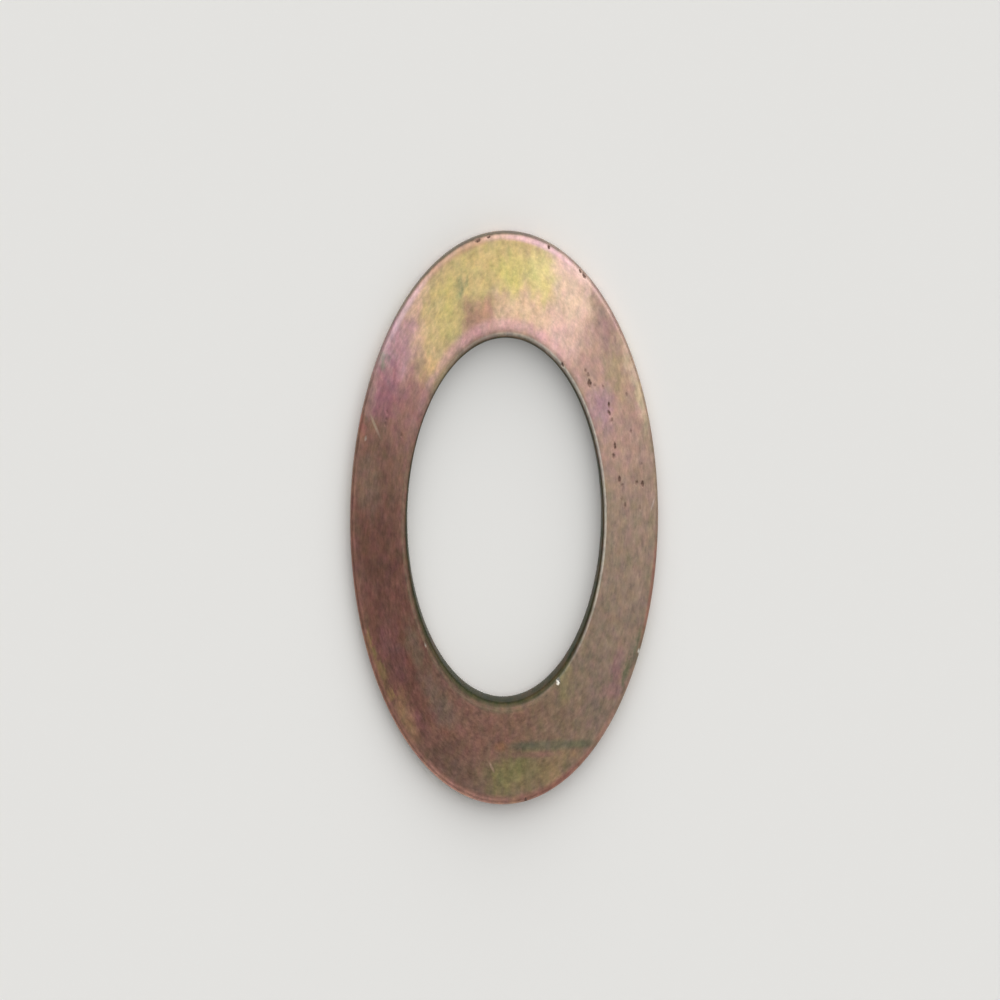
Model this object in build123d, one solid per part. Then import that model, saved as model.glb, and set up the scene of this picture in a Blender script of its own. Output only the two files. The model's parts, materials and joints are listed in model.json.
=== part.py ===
from build123d import *
import os
from math import atan2, cos, pi, tan

# Belleville washer, also called a disc spring: one heavy steel ring, dished to a shallow cone.
#
# It starts as a flat ring and is pressed to a cone, so the walls of its bore and rim lean with the plate.
# The tight edge of each wall is then turned to a short cylinder, which guides the washer on its pin or in
# its housing, and the two load edges, inner top and outer bottom, are ground to narrow flat seats.
#
# Millimetres, +Z up. It lies on its outer edge with the inner edge up, as it would come to rest on a bench.
# The origin is at the centre of the lower seat.

# Sizes that can be set
outer_diameter = 127.0  # over the cylinder turned on the rim
bore_diameter = 80.0  # through the cylinder turned in the bore, which clears a 79 mm pin
thickness = 6.5  # of the plate, square to its conical faces
cone_rise = 2.8  # free height less thickness, which is how far it can be pressed before it is flat
seat_width = 0.85  # radial width of each ground seat
guide_land = 1.2  # height of each turned cylinder
edge_radius = 1.4  # rounding of all four edges

# Sizes that follow. The section is the same upside down, so its corners are placed from its centre,
# with x outwards and z up.
free_height = thickness + cone_rise
half_height = free_height / 2
half_width = (outer_diameter - bore_diameter) / 4
centre_radius = (outer_diameter + bore_diameter) / 4


def face_height(tilt):
    """Height of the upper conical face straight above the section's centre."""
    return thickness / 2 / cos(tilt)


def corner_setback(tilt):
    """Length that a rounding takes from each side of its corner, which turns by 90 degrees less the tilt."""
    return edge_radius * tan((pi / 2 - tilt) / 2)


def rim_corner_height(tilt):
    """Height of the corner between the upper face and the rim, before it is rounded."""
    return face_height(tilt) - half_width * tan(tilt)


def land_foot_height(tilt):
    """Height at which the rim's turned cylinder ends and its leaning wall begins."""
    return rim_corner_height(tilt) - corner_setback(tilt) - guide_land


def wall_foot_reach(tilt):
    """Distance outwards at which the leaning wall meets the plane of the lower seat, before it is rounded."""
    return half_width - (land_foot_height(tilt) + half_height) * tan(tilt)


def seat_reach(tilt):
    """Distance outwards at which the lower seat begins: its full width inside the rounding."""
    return wall_foot_reach(tilt) - corner_setback(tilt) - seat_width


def cone_tilt():
    """Tilt of the plate, in radians, that brings each conical face out at the edge of its seat.

    The seats depend a little on the tilt, so it is worked out again from its last value until it settles.
    """
    tilt = 0.0
    for _ in range(20):
        tilt = atan2(half_height - face_height(tilt), seat_reach(tilt))
    return tilt


def outer_corners(tilt):
    """Corners of the section's outer half, from the upper seat's edge round to the lower seat's plane."""
    return [
        (-seat_reach(tilt), half_height),
        (half_width, rim_corner_height(tilt)),
        (half_width, land_foot_height(tilt)),
        (wall_foot_reach(tilt), -half_height),
    ]


def section():
    """Section of the ring: two conical faces, two seats, and two walls, each part cylinder and part cone."""
    outer = outer_corners(cone_tilt())
    inner = [(-x, -z) for x, z in outer]
    corners = [(centre_radius + x, half_height + z) for x, z in outer + inner]
    roundings = [0, edge_radius, 0, edge_radius] * 2
    return Plane.XZ * make_face(FilletPolyline(*corners, radius=roundings, close=True))


belleville_washer = revolve(section(), Axis.Z)
belleville_washer.label = "belleville_washer"

os.makedirs("parts", exist_ok=True)
export_step(belleville_washer, "parts/belleville_washer.step")
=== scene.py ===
"""Belleville washer: one heavy dished ring of spring steel, zinc plated and yellow chromated.

It lies dome up on a pale floor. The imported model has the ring's true shape. This script makes the ring again
as a finer mesh, presses the pits and nicks of handling into it, and gives it its film of chromate.
"""
import json
from collections import namedtuple
from math import acos, cos, radians, sin, tan

import bmesh
import bpy
from mathutils import Matrix, Vector, noise
from mathutils.kdtree import KDTree


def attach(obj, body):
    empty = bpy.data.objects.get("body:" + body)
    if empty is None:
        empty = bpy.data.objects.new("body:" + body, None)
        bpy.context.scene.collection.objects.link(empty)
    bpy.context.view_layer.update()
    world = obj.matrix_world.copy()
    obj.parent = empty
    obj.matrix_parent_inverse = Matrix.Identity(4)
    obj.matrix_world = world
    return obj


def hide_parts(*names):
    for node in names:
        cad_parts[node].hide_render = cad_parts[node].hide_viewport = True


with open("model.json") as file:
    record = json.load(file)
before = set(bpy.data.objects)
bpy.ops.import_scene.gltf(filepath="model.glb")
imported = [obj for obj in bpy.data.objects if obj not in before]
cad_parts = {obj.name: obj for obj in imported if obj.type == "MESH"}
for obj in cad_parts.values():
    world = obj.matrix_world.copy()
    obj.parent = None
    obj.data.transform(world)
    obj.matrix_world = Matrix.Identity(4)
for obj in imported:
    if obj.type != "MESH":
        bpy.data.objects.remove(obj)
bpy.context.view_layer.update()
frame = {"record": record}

MM = 0.001


# ---------------------------------------------------------------- sizes

# Millimetres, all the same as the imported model's. Its mounts give the two radii, the height and the middle of
# the cylinder turned on the rim, and the free height.
mounts = {mount["name"]: mount for mount in frame["record"]["mounts"]}
RIM_RADIUS = mounts["rim"]["dims"]["r_mm"]
BORE_RADIUS = mounts["bore"]["dims"]["r_mm"]
RIM_LAND = mounts["rim"]["dims"]["length_mm"]
RIM_LAND_MIDDLE = mounts["rim"]["pos_m"][2] / MM
FREE_HEIGHT = mounts["upper_seat"]["pos_m"][2] / MM
CONE_TILT = radians(8.497)
EDGE_RADIUS = 1.4

MID_RADIUS = (RIM_RADIUS + BORE_RADIUS) / 2
EDGE_SETBACK = EDGE_RADIUS * tan((radians(90) - CONE_TILT) / 2)  # how far from its corner a rounding begins
RIM_LAND_FOOT = RIM_LAND_MIDDLE - RIM_LAND / 2  # where the turned cylinder ends and the leaning wall begins
RIM_FOOT_RADIUS = RIM_RADIUS - RIM_LAND_FOOT * tan(CONE_TILT)  # where that wall would meet the floor
RIM_CORNER_HEIGHT = RIM_LAND_FOOT + RIM_LAND + EDGE_SETBACK  # where the conical face would meet the rim
UPPER_SEAT_RADIUS = RIM_RADIUS - (FREE_HEIGHT - RIM_CORNER_HEIGHT) / tan(CONE_TILT)  # where that face begins

STEPS_ROUND = 600  # divisions of the ring, 0.67 mm long at the rim
STEPS_ACROSS = 24  # divisions of each conical face, 0.8 mm wide
STEPS_IN_EDGE = 6  # divisions of each rounded edge


# ---------------------------------------------------------------- ring

# Marks of handling, pressed into the surface. Azimuth in degrees, radius and height say where the middle is,
# and turn is how far the length is turned from the tangent, in degrees. Soil or bare metal shows in the mark.
Mark = namedtuple("Mark", "azimuth radius height half_length half_width turn depth shows")
FACE = None  # the height is that of the upper conical face
RIM_EDGE = 5.9
BORE_EDGE = 9.1
SOIL, BARE = "soil", "bare"
MARK_REACH = 1.6  # no mark goes further than this from its middle
MARK_ROUNDS = 3  # rounds in which the mesh near a mark is divided in two, down to 0.1 mm
FULL_DEPTH = 0.12  # a mark this deep shows its soil or bare metal in full
RAGGEDNESS = 0.35  # how far a mark's outline strays, as a share of its size
RAGGED_WIDTH = 0.5  # width of the ins and outs of that outline
MARKS = [
    # Pits bunched towards +X
    Mark(0.6, 50.3, FACE, 0.9, 0.7, 0, 0.03, SOIL),
    Mark(1.7, 55.9, FACE, 0.8, 0.6, 0, 0.04, SOIL),
    Mark(2.6, 49.7, FACE, 1.0, 0.6, 10, 0.07, SOIL),
    Mark(4.6, 48.4, FACE, 0.9, 0.7, 0, 0.04, SOIL),
    Mark(6.9, 57.4, FACE, 0.9, 0.8, 0, 0.12, SOIL),
    Mark(7.6, 55.0, FACE, 0.8, 0.8, 0, 0.09, SOIL),
    Mark(8.1, 49.1, FACE, 0.7, 0.7, 0, 0.05, SOIL),
    Mark(9.9, 48.1, FACE, 1.1, 0.7, 10, 0.12, SOIL),
    Mark(11.3, 57.7, FACE, 0.7, 0.6, 0, 0.03, SOIL),
    Mark(16.8, 47.0, FACE, 1.0, 0.8, -20, 0.10, SOIL),
    Mark(19.0, 48.2, FACE, 1.1, 0.7, 15, 0.13, SOIL),
    Mark(19.7, 55.5, FACE, 0.8, 0.6, 0, 0.06, SOIL),
    Mark(25.8, 49.3, FACE, 0.8, 0.7, -15, 0.07, SOIL),
    Mark(28.2, 49.0, FACE, 1.0, 0.6, -15, 0.11, SOIL),
    Mark(30.0, 49.8, FACE, 1.0, 0.6, 20, 0.12, SOIL),
    Mark(28.0, 57.2, FACE, 0.7, 0.6, 0, 0.05, SOIL),
    Mark(35.3, 49.9, FACE, 0.8, 0.6, 0, 0.05, SOIL),
    Mark(38.3, 47.4, FACE, 0.7, 0.6, 0, 0.04, SOIL),
    Mark(40.5, 46.1, FACE, 1.2, 1.0, 0, 0.17, SOIL),
    Mark(42.6, 46.9, FACE, 0.8, 0.7, 0, 0.08, SOIL),
    Mark(44.5, 46.8, FACE, 0.7, 0.6, 0, 0.06, SOIL),
    # Small pits towards -X
    Mark(153.5, 54.2, FACE, 0.8, 0.6, 0, 0.04, SOIL),
    Mark(155.2, 53.8, FACE, 0.7, 0.5, 0, 0.04, SOIL),
    Mark(156.4, 53.8, FACE, 0.7, 0.6, 0, 0.04, SOIL),
    Mark(155.8, 46.9, FACE, 0.8, 0.6, 0, 0.04, SOIL),
    # Nicks in the rim
    Mark(58.2, 63.1, RIM_EDGE, 1.1, 0.8, 0, 0.30, SOIL),
    Mark(59.9, 63.2, RIM_EDGE, 0.8, 0.6, 0, 0.20, SOIL),
    Mark(72.9, 63.2, RIM_EDGE, 0.7, 0.9, 0, 0.35, SOIL),
    Mark(96.0, 63.2, RIM_EDGE, 0.9, 0.6, 0, 0.25, SOIL),
    Mark(100.1, 63.1, RIM_EDGE, 1.5, 0.9, 0, 0.35, SOIL),
    Mark(277.9, 63.0, RIM_EDGE, 0.8, 0.8, 0, 0.25, SOIL),
    Mark(331.3, 63.0, RIM_EDGE, 0.7, 0.7, 0, 0.20, BARE),
    # A nick at the bore, a chip there, and places where the film is worn off
    Mark(55.3, 41.7, BORE_EDGE, 0.9, 0.6, 0, 0.25, SOIL),
    Mark(301.4, 42.1, BORE_EDGE, 1.0, 0.9, 0, 0.25, BARE),
    Mark(219.9, 42.5, BORE_EDGE, 0.8, 0.4, 0, 0.05, BARE),
    Mark(162.3, 60.2, FACE, 0.8, 0.6, 30, 0.03, BARE),
]


def upper_face_height(radius):
    """Height of the upper conical face."""
    return FREE_HEIGHT - (radius - UPPER_SEAT_RADIUS) * tan(CONE_TILT)


def section_corners():
    """The section's eight corners before rounding: the outer four, and the same turned about its middle."""
    outer = [
        (2 * MID_RADIUS - UPPER_SEAT_RADIUS, 0.0),
        (RIM_FOOT_RADIUS, 0.0),
        (RIM_RADIUS, RIM_LAND_FOOT),
        (RIM_RADIUS, RIM_CORNER_HEIGHT),
    ]
    return outer + [(2 * MID_RADIUS - radius, FREE_HEIGHT - height) for radius, height in outer]


def turned_ring():
    """Spins the rounded section round the axis."""
    bm = bmesh.new()
    corners = [bm.verts.new((radius * MM, 0, height * MM)) for radius, height in section_corners()]
    bm.faces.new(corners)
    bmesh.ops.bevel(bm, geom=corners[1::2], offset=EDGE_SETBACK * MM, offset_type="OFFSET",
                    segments=STEPS_IN_EDGE, profile=0.5, affect="VERTICES", material=-1)
    bmesh.ops.delete(bm, geom=bm.faces[:], context="FACES_ONLY")
    half_across = (RIM_RADIUS - BORE_RADIUS) / 2
    conical_faces = [edge for edge in bm.edges if edge.calc_length() > half_across * MM]
    bmesh.ops.subdivide_edges(bm, edges=conical_faces, cuts=STEPS_ACROSS - 1)
    bmesh.ops.spin(bm, geom=bm.verts[:] + bm.edges[:], cent=(0, 0, 0), axis=(0, 0, 1), angle=radians(360),
                   steps=STEPS_ROUND, use_merge=True)
    bmesh.ops.remove_doubles(bm, verts=bm.verts[:], dist=0.0001 * MM)
    bmesh.ops.recalc_face_normals(bm, faces=bm.faces[:])
    return bm


def mark_place(mark):
    """Where a mark lies, and the direction of its length."""
    height = upper_face_height(mark.radius) if mark.height is FACE else mark.height
    a, t = radians(mark.azimuth), radians(mark.turn)
    outwards = Vector((cos(a), sin(a), 0))
    tangent = Vector((-sin(a), cos(a), 0))
    downhill = outwards * cos(CONE_TILT) - Vector((0, 0, 1)) * sin(CONE_TILT)
    return (outwards * mark.radius + Vector((0, 0, height))) * MM, tangent * cos(t) + downhill * sin(t)


def divide_at_marks(bm, tree):
    """Divides the mesh finely near each mark, which the tree finds."""
    for _ in range(MARK_ROUNDS):
        near = {vert for vert in bm.verts if tree.find(vert.co)[2] < MARK_REACH * MM}
        edges = [edge for edge in bm.edges if edge.verts[0] in near and edge.verts[1] in near]
        bmesh.ops.subdivide_edges(bm, edges=edges, cuts=1, use_grid_fill=True)
    bmesh.ops.triangulate(bm, faces=[face for face in bm.faces if len(face.verts) > 4])
    bm.normal_update()


def press_marks(bm):
    """Presses each mark in, and writes how far soil or bare metal shows."""
    places = [mark_place(mark) for mark in MARKS]
    tree = KDTree(len(MARKS))
    for number, (place, _) in enumerate(places):
        tree.insert(place, number)
    tree.balance()
    divide_at_marks(bm, tree)
    layers = {name: bm.verts.layers.float.new(name) for name in (SOIL, BARE)}
    for vert in bm.verts:
        for _, number, _ in tree.find_range(vert.co, MARK_REACH * MM):
            mark = MARKS[number]
            place, along = places[number]
            off = vert.co - place
            lengthwise = off.dot(along)
            crosswise = (off - along * lengthwise).length
            share = ((lengthwise / mark.half_length) ** 2 + (crosswise / mark.half_width) ** 2) / MM ** 2
            share = max(0, share + RAGGEDNESS * noise.noise(vert.co / (RAGGED_WIDTH * MM)))
            if share < 1:
                vert.co -= vert.normal * (mark.depth * (1 - share) ** 2 * MM)
                seen = (1 - share) * min(1, mark.depth / FULL_DEPTH)
                vert[layers[mark.shows]] = max(vert[layers[mark.shows]], seen)


def make_washer():
    """The washer's one piece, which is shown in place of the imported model's plain one."""
    bm = turned_ring()
    press_marks(bm)
    for face in bm.faces:
        face.smooth = True
    mesh = bpy.data.meshes.new("washer_ring")
    bm.to_mesh(mesh)
    bm.free()
    ring = bpy.data.objects.new("washer_ring", mesh)
    bpy.context.scene.collection.objects.link(ring)
    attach(ring, "root")
    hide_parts("belleville_washer")
    return ring


# ---------------------------------------------------------------- materials


def linear(code):
    """An sRGB hex colour as linear red, green and blue, with an alpha of 1."""
    parts = [int(code[i:i + 2], 16) / 255 for i in (1, 3, 5)]
    return tuple(c / 12.92 if c <= 0.04045 else ((c + 0.055) / 1.055) ** 2.4 for c in parts) + (1.0,)


def node(tree, kind, inputs=None, **settings):
    """Adds a node. Settings are its properties; inputs are plain values, or the sockets that feed it."""
    made = tree.nodes.new(kind)
    for name, value in settings.items():
        setattr(made, name, value)
    for socket, value in (inputs or {}).items():
        if isinstance(value, bpy.types.NodeSocket):
            tree.links.new(value, made.inputs[socket])
        else:
            made.inputs[socket].default_value = value
    return made


FACTOR, COLOUR_A, COLOUR_B, COLOUR = 0, 6, 7, 2  # sockets of a Mix node that mixes colours

# The film on the upper face, from broad washes to small touches. Each touch: azimuth and its half width in
# degrees, radius and its half width in millimetres, colour, and how much of it covers what lies under.
FILM = "#A28C7A"  # taupe
FILM_TOUCHES = [
    # Broad washes
    (35, 30, 52, 16, "#B19184", 1.0),  # tan with a little pink
    (64, 14, 52, 16, "#D6B2A6", 0.9),  # peach
    (205, 60, 52, 18, "#996D60", 1.0),  # reddish tan
    (160, 16, 52, 16, "#8B6B5C", 0.8),
    (252, 24, 47, 9, "#B98978", 0.7),  # salmon
    (288, 22, 50, 14, "#A68972", 0.7),  # tan
    (96, 38, 57, 9, "#BFAA78", 1.0),  # brass yellow
    (84, 18, 46.5, 6, "#D6B698", 0.8),
    (104, 10, 46, 5, "#A6846E", 0.9),
    # These two are lighter partly as painted light: they carry the highlight on round towards 140 degrees
    (118, 8, 51, 9, "#C0B075", 0.8),
    (129, 9, 50, 11, "#D0B687", 0.8),  # gold
    (142, 13, 58, 9, "#BE959B", 0.9),  # pink
    (147, 14, 46.5, 7, "#A47A74", 0.8),
    # Touches towards +Y
    (61, 11, 58.5, 7, "#E2C4B2", 0.55),
    (75, 8, 57, 6, "#D2C488", 0.8),
    (87, 6, 54, 5, "#CDC176", 0.6),
    (127, 6, 60.5, 4, "#D8B39E", 0.6),
    (108, 3.5, 56, 4, "#7D8864", 0.7),
    (130, 5, 45.5, 3, "#D6B382", 0.6),
    (144, 3, 60.5, 2, "#87917F", 0.8),
    (149, 7, 56, 5, "#955D66", 0.6),
    (160, 4, 61.5, 2, "#AF6E6A", 0.6),
    # Touches between +X and +Y
    (27, 12, 61.5, 2.5, "#C9B697", 0.7),
    (36, 9, 56, 4.5, "#A49073", 0.7),
    (31, 8, 46.8, 5, "#A5858C", 0.8),
    (46, 6, 60, 5, "#957A72", 0.7),
    # Touches towards -X
    (173, 6, 56.5, 5, "#A08C79", 0.6),
    (184, 16, 53, 14, "#7A5A50", 0.6),
    (208, 7, 61.4, 1.5, "#B09C63", 0.7),
    (219.5, 4, 61.4, 1.2, "#C6A66F", 0.6),
    (212, 9, 54.5, 4, "#986D6D", 0.5),
    (217, 10, 46.3, 3, "#9B8972", 0.6),
    (228, 6, 59.5, 4, "#CCA37F", 0.7),
    (232, 6, 56.5, 3, "#A57373", 0.5),
    (237, 12, 47.5, 4, "#9A8A7A", 0.6),
    # Touches towards -Y, and on towards +X
    (275, 13, 56.5, 6, "#AE9F71", 0.8),
    (272, 8, 56, 3.5, "#A59D6C", 0.6),
    (291, 8, 58.5, 4, "#BEA078", 0.6),
    (272, 16, 45.5, 5, "#AC8371", 0.7),
    (304, 6, 44.5, 3.5, "#A79B73", 0.6),
    (322, 5, 57, 3.5, "#AA8080", 0.6),
    (328, 12, 61.8, 1.4, "#74745E", 0.7),
]

# Lines along the edges, in the same form: the film's own colour there, with painted highlights and painted
# shade among them. They keep to the edge, and aren't ragged as the touches are.
EDGE_FILM_AND_PAINTED_LIGHT = [
    (80, 40, 63.0, 0.9, "#CDAEA8", 0.7),
    (64, 8, 61.9, 1.5, "#D7B6B4", 0.5),
    (112, 30, 62.6, 1.0, "#B28678", 0.5),
    (76, 13, 62.6, 0.8, "#CBA6B0", 0.55),
    (104, 6, 62.4, 1.0, "#9C8062", 0.5),
    # Lighter towards 133 degrees as a painted highlight on the rim
    (133, 12, 62.4, 1.1, "#E2C4CC", 0.55),
    # These two light the rim's rounding from 170 to 320 degrees as a painted highlight, where the lamps leave
    # it dull
    (245, 75, 62.5, 1.2, "#CD9484", 0.6),
    (252, 24, 62.6, 0.8, "#F0B8A4", 0.7),
    (292, 14, 62.9, 0.9, "#AF5A50", 0.3),
    (344, 12, 62.9, 0.9, "#A85F55", 0.4),
    (97, 48, 43.6, 1.8, "#C2979A", 0.6),
    # A painted highlight along the bore's edge, from -47 to 103 degrees
    (28, 75, 41.5, 0.6, "#E6DED0", 0.9),
    # Painted shade: a dark reflection along the bore's edge towards -X and -Y, and the bore's wall painted dark
    # in the next two
    (235, 70, 42.3, 0.6, "#857862", 0.6),
    (230, 58, 41.1, 1.0, "#3E3D2C", 0.95),
    (300, 42, 40.9, 0.9, "#3E3D2C", 0.95),
]

# One more in that form, which goes down the rim's wall: painted shade and a painted dark reflection, duller
# towards +Y
RIM_WALL_PAINTED_SHADE = (105, 48, 63.7, 0.5, "#6A6758", 0.85)

# Straight streaks across the upper face: middle in x and y, half length and half width in millimetres, turn
# in degrees, colour and cover.
FILM_STREAKS = [
    (19.0, -50.2, 17.5, 1.3, 0, "#7D826C", 0.6),  # a dark green smear
    (8.0, -50.1, 6.0, 1.0, 0, "#6E7566", 0.4),
    (31.0, -50.3, 7.0, 1.1, 0, "#71785C", 0.5),
    (12.0, -52.2, 10.0, 0.8, 0, "#BE8C82", 0.5),
    (-2.0, -50.2, 3.0, 1.2, -1, "#BE8964", 0.5),
    (-53.6, 21.3, 3.4, 0.5, -51, "#BEB09B", 0.4),  # a scratch
    (61.2, 2.2, 1.6, 0.35, 60, "#D2C3B4", 0.5),
    (-5.3, -54.8, 1.6, 0.45, -47, "#E1BEA5", 0.8),
]

# Loose washes of the underside and of the bore: width in millimetres, shift of the pattern, colour
UNDERSIDE_WASHES = [
    (34, 0, "#B08878"),
    (26, 200, "#B9A375"),
    (20, 400, "#A68880"),
    (12, 600, "#BC9A82"),
]
# The bore's olive, made dark as painted shade and a painted dark reflection for the shade in the bore
BORE_FILM_IN_PAINTED_SHADE = "#47462F"  # dark olive
BORE_WASHES_IN_PAINTED_SHADE = [
    (9, 50, "#5A4A36"),
    (4, 90, "#39402C"),
]
BORE_BORDER = (40.6, 41.2)  # radii between which the bore's film gives way to the face's
UNDERSIDE_BORDER = (3.0, 4.6)  # heights on the rim between which the underside's film does

# Grain of the tumbled surface, in millimetres: blotches this wide and less, and finer grain drawn out round
# the ring. The real grain is finer still, and drawn coarser to be seen.
BLOTCH_WIDTH = 3.0
GRAIN_LENGTH = 2.0
GRAIN_WIDTH = 0.8
GRAIN_DEPTH = 0.02
GRAIN_STRENGTH = 0.35

SOIL_COLOUR = "#6E564C"
ZINC = "#E6E4DC"


def film_touch(tree, film, ringwise, touch):
    """Lays one soft-edged touch of colour over the film, at its place round and across the ring."""
    azimuth, half_azimuth, radius, half_radius, colour, cover = touch
    a, spread = radians(azimuth), radians(half_azimuth)
    scale = (1 / spread, 1 / spread, 1 / half_radius)
    centre = (-cos(a) / spread, -sin(a) / spread, -radius / half_radius)
    from_centre = node(tree, "ShaderNodeVectorMath", {0: ringwise, 1: scale, 2: centre},
                       operation="MULTIPLY_ADD")
    return fade_over(tree, film, from_centre, colour, cover)


def film_streak(tree, film, in_mm, streak):
    """Lays one straight streak of colour over the film, at any height."""
    x, y, half_length, half_width, turn, colour, cover = streak
    sizes = {"Vector": in_mm, "Location": (x, y, 0), "Rotation": (0, 0, radians(turn)),
             "Scale": (half_length, half_width, 1000)}
    from_centre = node(tree, "ShaderNodeMapping", sizes, vector_type="TEXTURE")
    return fade_over(tree, film, from_centre, colour, cover)


def wash(tree, film, in_mm, width, shift, colour):
    """Lays loose washes of colour over the film, width millimetres across, in a pattern of their own."""
    moved = node(tree, "ShaderNodeVectorMath", {0: in_mm, 1: (shift, shift, shift)}, operation="ADD")
    pattern = node(tree, "ShaderNodeTexNoise",
                   {"Vector": moved.outputs[0], "Scale": 1 / width, "Detail": 4.0})
    cover = node(tree, "ShaderNodeMapRange", {0: pattern.outputs[0], 1: 0.45, 2: 0.65, 3: 0.0, 4: 0.85},
                 interpolation_type="SMOOTHSTEP")
    mixed = node(tree, "ShaderNodeMix", {FACTOR: cover.outputs[0], COLOUR_A: film, COLOUR_B: linear(colour)},
                 data_type="RGBA")
    return mixed.outputs[COLOUR]


def fade_over(tree, film, from_centre, colour, cover):
    """Mixes colour over the film, fully near the centre and not at all past 1.4 half widths."""
    distance = node(tree, "ShaderNodeVectorMath", {0: from_centre.outputs[0]}, operation="LENGTH")
    fade = node(tree, "ShaderNodeMapRange", {0: distance.outputs["Value"], 1: 0.3, 2: 1.4, 3: cover, 4: 0.0},
                interpolation_type="SMOOTHSTEP")
    mixed = node(tree, "ShaderNodeMix", {FACTOR: fade.outputs[0], COLOUR_A: film, COLOUR_B: linear(colour)},
                 data_type="RGBA")
    return mixed.outputs[COLOUR]


def places_on_ring(tree):
    """A place on the ring: in millimetres, as (cosine, sine, radius) round it, and its radius and height."""
    coordinates = node(tree, "ShaderNodeTexCoord")
    in_mm = node(tree, "ShaderNodeVectorMath", {0: coordinates.outputs["Object"], "Scale": 1 / MM},
                 operation="SCALE").outputs[0]
    level = node(tree, "ShaderNodeVectorMath", {0: in_mm, 1: (1, 1, 0)}, operation="MULTIPLY")
    outwards = node(tree, "ShaderNodeVectorMath", {0: level.outputs[0]}, operation="NORMALIZE")
    radius = node(tree, "ShaderNodeVectorMath", {0: level.outputs[0]}, operation="LENGTH").outputs["Value"]
    radius_only = node(tree, "ShaderNodeCombineXYZ", {"Z": radius})
    ringwise = node(tree, "ShaderNodeVectorMath", {0: outwards.outputs[0], 1: radius_only.outputs[0]},
                    operation="ADD").outputs[0]
    height = node(tree, "ShaderNodeSeparateXYZ", {0: in_mm}).outputs["Z"]
    return in_mm, ringwise, radius, height


def straying(tree, in_mm, width, detail, roughness, turn, reach):
    """A shift of place that wanders, in a pattern width millimetres across.

    It is up to turn round the ring, in radians, and reach millimetres across it, each way.
    """
    pattern = node(tree, "ShaderNodeTexNoise",
                   {"Vector": in_mm, "Scale": 1 / width, "Detail": detail, "Roughness": roughness})
    return node(tree, "ShaderNodeVectorMath",
                {0: pattern.outputs["Color"], 1: (2 * turn, 2 * turn, 2 * reach), 2: (-turn, -turn, -reach)},
                operation="MULTIPLY_ADD").outputs[0]


def upper_film(tree, in_mm, ringwise, runs, specks):
    """The film on the upper face, with painted highlights and shade along its edges. It ran and pooled while it
    was wet, so its touches have ragged edges.
    """
    strays = node(tree, "ShaderNodeVectorMath", {0: runs, 1: specks}, operation="ADD").outputs[0]
    ragged = node(tree, "ShaderNodeVectorMath", {0: strays, 1: ringwise}, operation="ADD").outputs[0]
    film = linear(FILM)
    for touch in FILM_TOUCHES:
        film = film_touch(tree, film, ragged, touch)
    for line in EDGE_FILM_AND_PAINTED_LIGHT:
        film = film_touch(tree, film, ringwise, line)
    for streak in FILM_STREAKS:
        film = film_streak(tree, film, in_mm, streak)
    return film


def underside_film(tree, in_mm):
    """The film below: the same one, in loose washes."""
    film = linear(FILM)
    for width, shift, colour in UNDERSIDE_WASHES:
        film = wash(tree, film, in_mm, width, shift, colour)
    return film


def bore_film_and_painted_shade(tree, in_mm):
    """The film in the bore: dark olive, browner in places. It is painted dark as shade and as a dark
    reflection, for the shade in the bore.
    """
    film = linear(BORE_FILM_IN_PAINTED_SHADE)
    for width, shift, colour in BORE_WASHES_IN_PAINTED_SHADE:
        film = wash(tree, film, in_mm, width, shift, colour)
    return film


def whole_film(tree, in_mm, ringwise, radius, height):
    """The film all over: the upper face's, the underside's up over the rim, and the bore's; the walls get
    painted shade.
    """
    runs = straying(tree, in_mm, width=9, detail=2.0, roughness=0.5, turn=0.12, reach=4.0)
    specks = straying(tree, in_mm, width=2.5, detail=3.0, roughness=0.6, turn=0.06, reach=2.5)
    above = upper_film(tree, in_mm, ringwise, runs, specks)
    below = underside_film(tree, in_mm)
    low, high = UNDERSIDE_BORDER
    ragged_height = node(tree, "ShaderNodeMath", {0: specks, 1: 0.6, 2: height}, operation="MULTIPLY_ADD")
    upper = node(tree, "ShaderNodeMapRange", {0: ragged_height.outputs[0], 1: low, 2: high, 3: 0.0, 4: 1.0})
    film = node(tree, "ShaderNodeMix", {FACTOR: upper.outputs[0], COLOUR_A: below, COLOUR_B: above},
                data_type="RGBA").outputs[COLOUR]
    film = film_touch(tree, film, ringwise, RIM_WALL_PAINTED_SHADE)
    near, far = BORE_BORDER
    in_bore = node(tree, "ShaderNodeMapRange", {0: radius, 1: near, 2: far, 3: 1.0, 4: 0.0},
                   interpolation_type="SMOOTHSTEP")
    return node(tree, "ShaderNodeMix",
                {FACTOR: in_bore.outputs[0], COLOUR_A: film, COLOUR_B: bore_film_and_painted_shade(tree, in_mm)},
                data_type="RGBA").outputs[COLOUR]


def grain_patterns(tree, in_mm, ringwise):
    """The blotches, and the finer grain drawn out round the ring."""
    blotches = node(tree, "ShaderNodeTexNoise",
                    {"Vector": in_mm, "Scale": 1 / BLOTCH_WIDTH, "Detail": 5.0, "Roughness": 0.75})
    turns = MID_RADIUS / GRAIN_LENGTH
    drawn_out = node(tree, "ShaderNodeVectorMath", {0: ringwise, 1: (turns, turns, 1 / GRAIN_WIDTH)},
                     operation="MULTIPLY")
    grain = node(tree, "ShaderNodeTexNoise",
                 {"Vector": drawn_out.outputs[0], "Scale": 1.0, "Detail": 3.0, "Roughness": 0.6})
    return blotches.outputs[0], grain.outputs[0]


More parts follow.
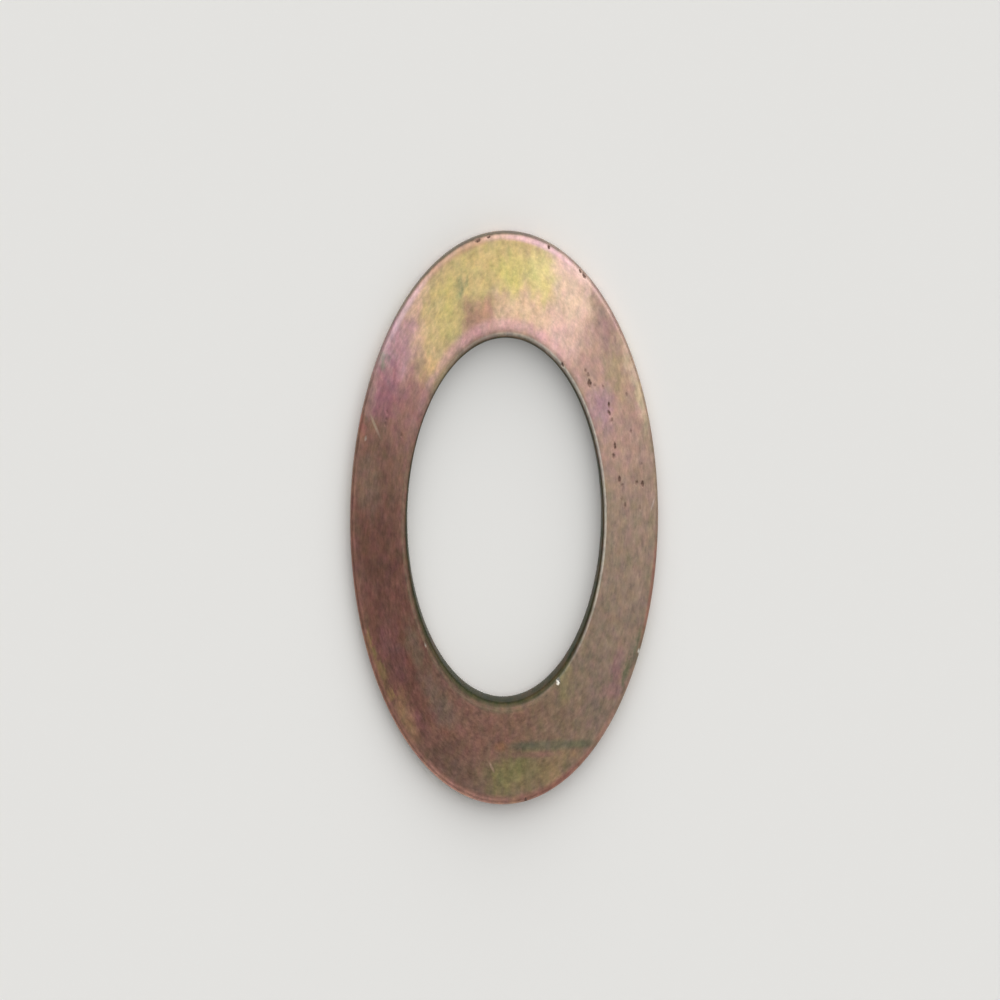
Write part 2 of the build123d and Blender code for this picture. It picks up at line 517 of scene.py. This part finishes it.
def shaded(tree, film, in_mm, blotches, grain):
    """The film, lighter and darker with the blotches and the grain, and a little tinted."""
    by_blotches = node(tree, "ShaderNodeMapRange", {0: blotches, 1: 0.3, 2: 0.7, 3: 0.79, 4: 1.21})
    by_grain = node(tree, "ShaderNodeMapRange", {0: grain, 1: 0.3, 2: 0.7, 3: 0.85, 4: 1.15})
    for shading in (by_blotches, by_grain):
        film = node(tree, "ShaderNodeVectorMath", {0: film, "Scale": shading.outputs[0]},
                    operation="SCALE").outputs[0]
    tints = node(tree, "ShaderNodeTexNoise", {"Vector": in_mm, "Scale": 1 / BLOTCH_WIDTH, "Detail": 3.0})
    return node(tree, "ShaderNodeMix", {FACTOR: 0.2, COLOUR_A: film, COLOUR_B: tints.outputs["Color"]},
                data_type="RGBA", blend_type="SOFT_LIGHT").outputs[COLOUR]


def worn(tree, film):
    """The film, with soil in the pits and bare zinc at the chips."""
    for shows, colour in ((SOIL, SOIL_COLOUR), (BARE, ZINC)):
        cover = node(tree, "ShaderNodeAttribute", attribute_name=shows)
        film = node(tree, "ShaderNodeMix",
                    {FACTOR: cover.outputs["Fac"], COLOUR_A: film, COLOUR_B: linear(colour)},
                    data_type="RGBA").outputs[COLOUR]
    return film


def yellow_chromate_on_zinc():
    """Zinc plate under a yellow chromate film, dipped in a barrel.

    The eye sees a soft metal sheen, not a mirror: the steel was tumbled before it was plated. The film's
    thickness wanders, so its colour runs from taupe and rose to brass yellow and green. It is darkest in the
    bore and duller on the rim's wall towards +Y, as painted shade; some lines along the edges are painted
    highlights.
    """
    material = bpy.data.materials.new("yellow_chromate_on_zinc")
    material.use_nodes = True
    tree = material.node_tree
    tree.nodes.clear()
    in_mm, ringwise, radius, height = places_on_ring(tree)
    blotches, grain = grain_patterns(tree, in_mm, ringwise)
    film = whole_film(tree, in_mm, ringwise, radius, height)
    film = shaded(tree, film, in_mm, blotches, grain)
    film = worn(tree, film)
    roughness = node(tree, "ShaderNodeMapRange", {0: grain, 1: 0.25, 2: 0.75, 3: 0.40, 4: 0.52})
    relief = {"Strength": GRAIN_STRENGTH, "Distance": GRAIN_DEPTH * MM}
    coarse = node(tree, "ShaderNodeBump", {**relief, "Height": blotches})
    fine = node(tree, "ShaderNodeBump", {**relief, "Height": grain, "Normal": coarse.outputs[0]})
    shader = node(tree, "ShaderNodeBsdfPrincipled",
                  {"Base Color": film, "Metallic": 1.0, "Roughness": roughness.outputs[0],
                   "Normal": fine.outputs[0]})
    node(tree, "ShaderNodeOutputMaterial", {"Surface": shader.outputs[0]})
    return material


def pale_matt_floor():
    """A board painted off-white. The eye sees no shine on it, only the washer's soft shadow."""
    material = bpy.data.materials.new("pale_matt_floor")
    material.use_nodes = True
    tree = material.node_tree
    tree.nodes.clear()
    shader = node(tree, "ShaderNodeBsdfPrincipled", {"Base Color": linear("#EAE9E6"), "Roughness": 0.9})
    node(tree, "ShaderNodeOutputMaterial", {"Surface": shader.outputs[0]})
    return material


# ---------------------------------------------------------------- floor, light and camera

FLOOR_WIDTH = 16  # metres, enough for views from low down
WORLD_STRENGTH = 0.18


def make_floor():
    bpy.ops.mesh.primitive_plane_add(size=FLOOR_WIDTH)
    floor = bpy.context.object
    floor.name = "floor"
    floor.data.materials.append(pale_matt_floor())


def soft_light(name, towards, width, strength):
    """A broad soft lamp far off in a direction, width degrees across."""
    lamp = bpy.data.lights.new(name, "SUN")
    lamp.energy = strength
    lamp.angle = radians(width)
    light = bpy.data.objects.new(name, lamp)
    light.rotation_mode = "QUATERNION"
    light.rotation_quaternion = Vector(towards).to_track_quat("Z", "Y")
    bpy.context.scene.collection.objects.link(light)


def make_world():
    world = bpy.data.worlds.new("studio")
    world.use_nodes = True
    tree = world.node_tree
    tree.nodes.clear()
    background = node(tree, "ShaderNodeBackground", {"Color": (1, 1, 1, 1), "Strength": WORLD_STRENGTH})
    node(tree, "ShaderNodeOutputWorld", {"Surface": background.outputs[0]})
    bpy.context.scene.world = world


# The camera looks almost straight down from far off. What it sees is stretched upright, so that the round
# washer fills an oval: its own upright direction leans towards the line of sight, which lengthens things that
# way.
STRETCH = 1.894
LENS = 1000.0  # millimetres
DISTANCE = 11.447  # metres, from the point that it looks at
AIM = Vector((-1.702, 3.461, 4.374)) * MM
TOWARDS_CAMERA = Vector((-0.0559, 0.2089, 1.0)).normalized()


def make_camera():
    lens = bpy.data.cameras.new("camera")
    lens.lens = LENS
    lens.sensor_width = 36.0
    lens.clip_start = 0.1
    lens.clip_end = 100.0
    camera = bpy.data.objects.new("camera", lens)
    bpy.context.scene.collection.objects.link(camera)
    bpy.context.scene.camera = camera
    right = Vector((0, 1, 0)).cross(TOWARDS_CAMERA).normalized()
    upright = TOWARDS_CAMERA.cross(right).normalized()
    lean = acos(1 / STRETCH)
    leaning = upright * cos(lean) + TOWARDS_CAMERA * sin(lean)
    plain = Matrix((right, upright, TOWARDS_CAMERA)).transposed().to_4x4()
    stretched = Matrix((right, leaning, TOWARDS_CAMERA)).transposed().to_4x4()
    plain.translation = stretched.translation = AIM + TOWARDS_CAMERA * DISTANCE
    stretcher = bpy.data.objects.new("picture_stretch", None)
    bpy.context.scene.collection.objects.link(stretcher)
    camera.parent = stretcher
    camera.matrix_parent_inverse = stretched @ plain.inverted()
    camera.matrix_basis = plain


make_camera()
make_floor()
soft_light("key", towards=(0.10, 0.72, 0.68), width=100, strength=2.9)
soft_light("fill", towards=(0.80, -0.25, 0.55), width=90, strength=0.68)
make_world()
ring = make_washer()
ring.data.materials.append(yellow_chromate_on_zinc())
bpy.context.scene.view_settings.view_transform = "Standard"
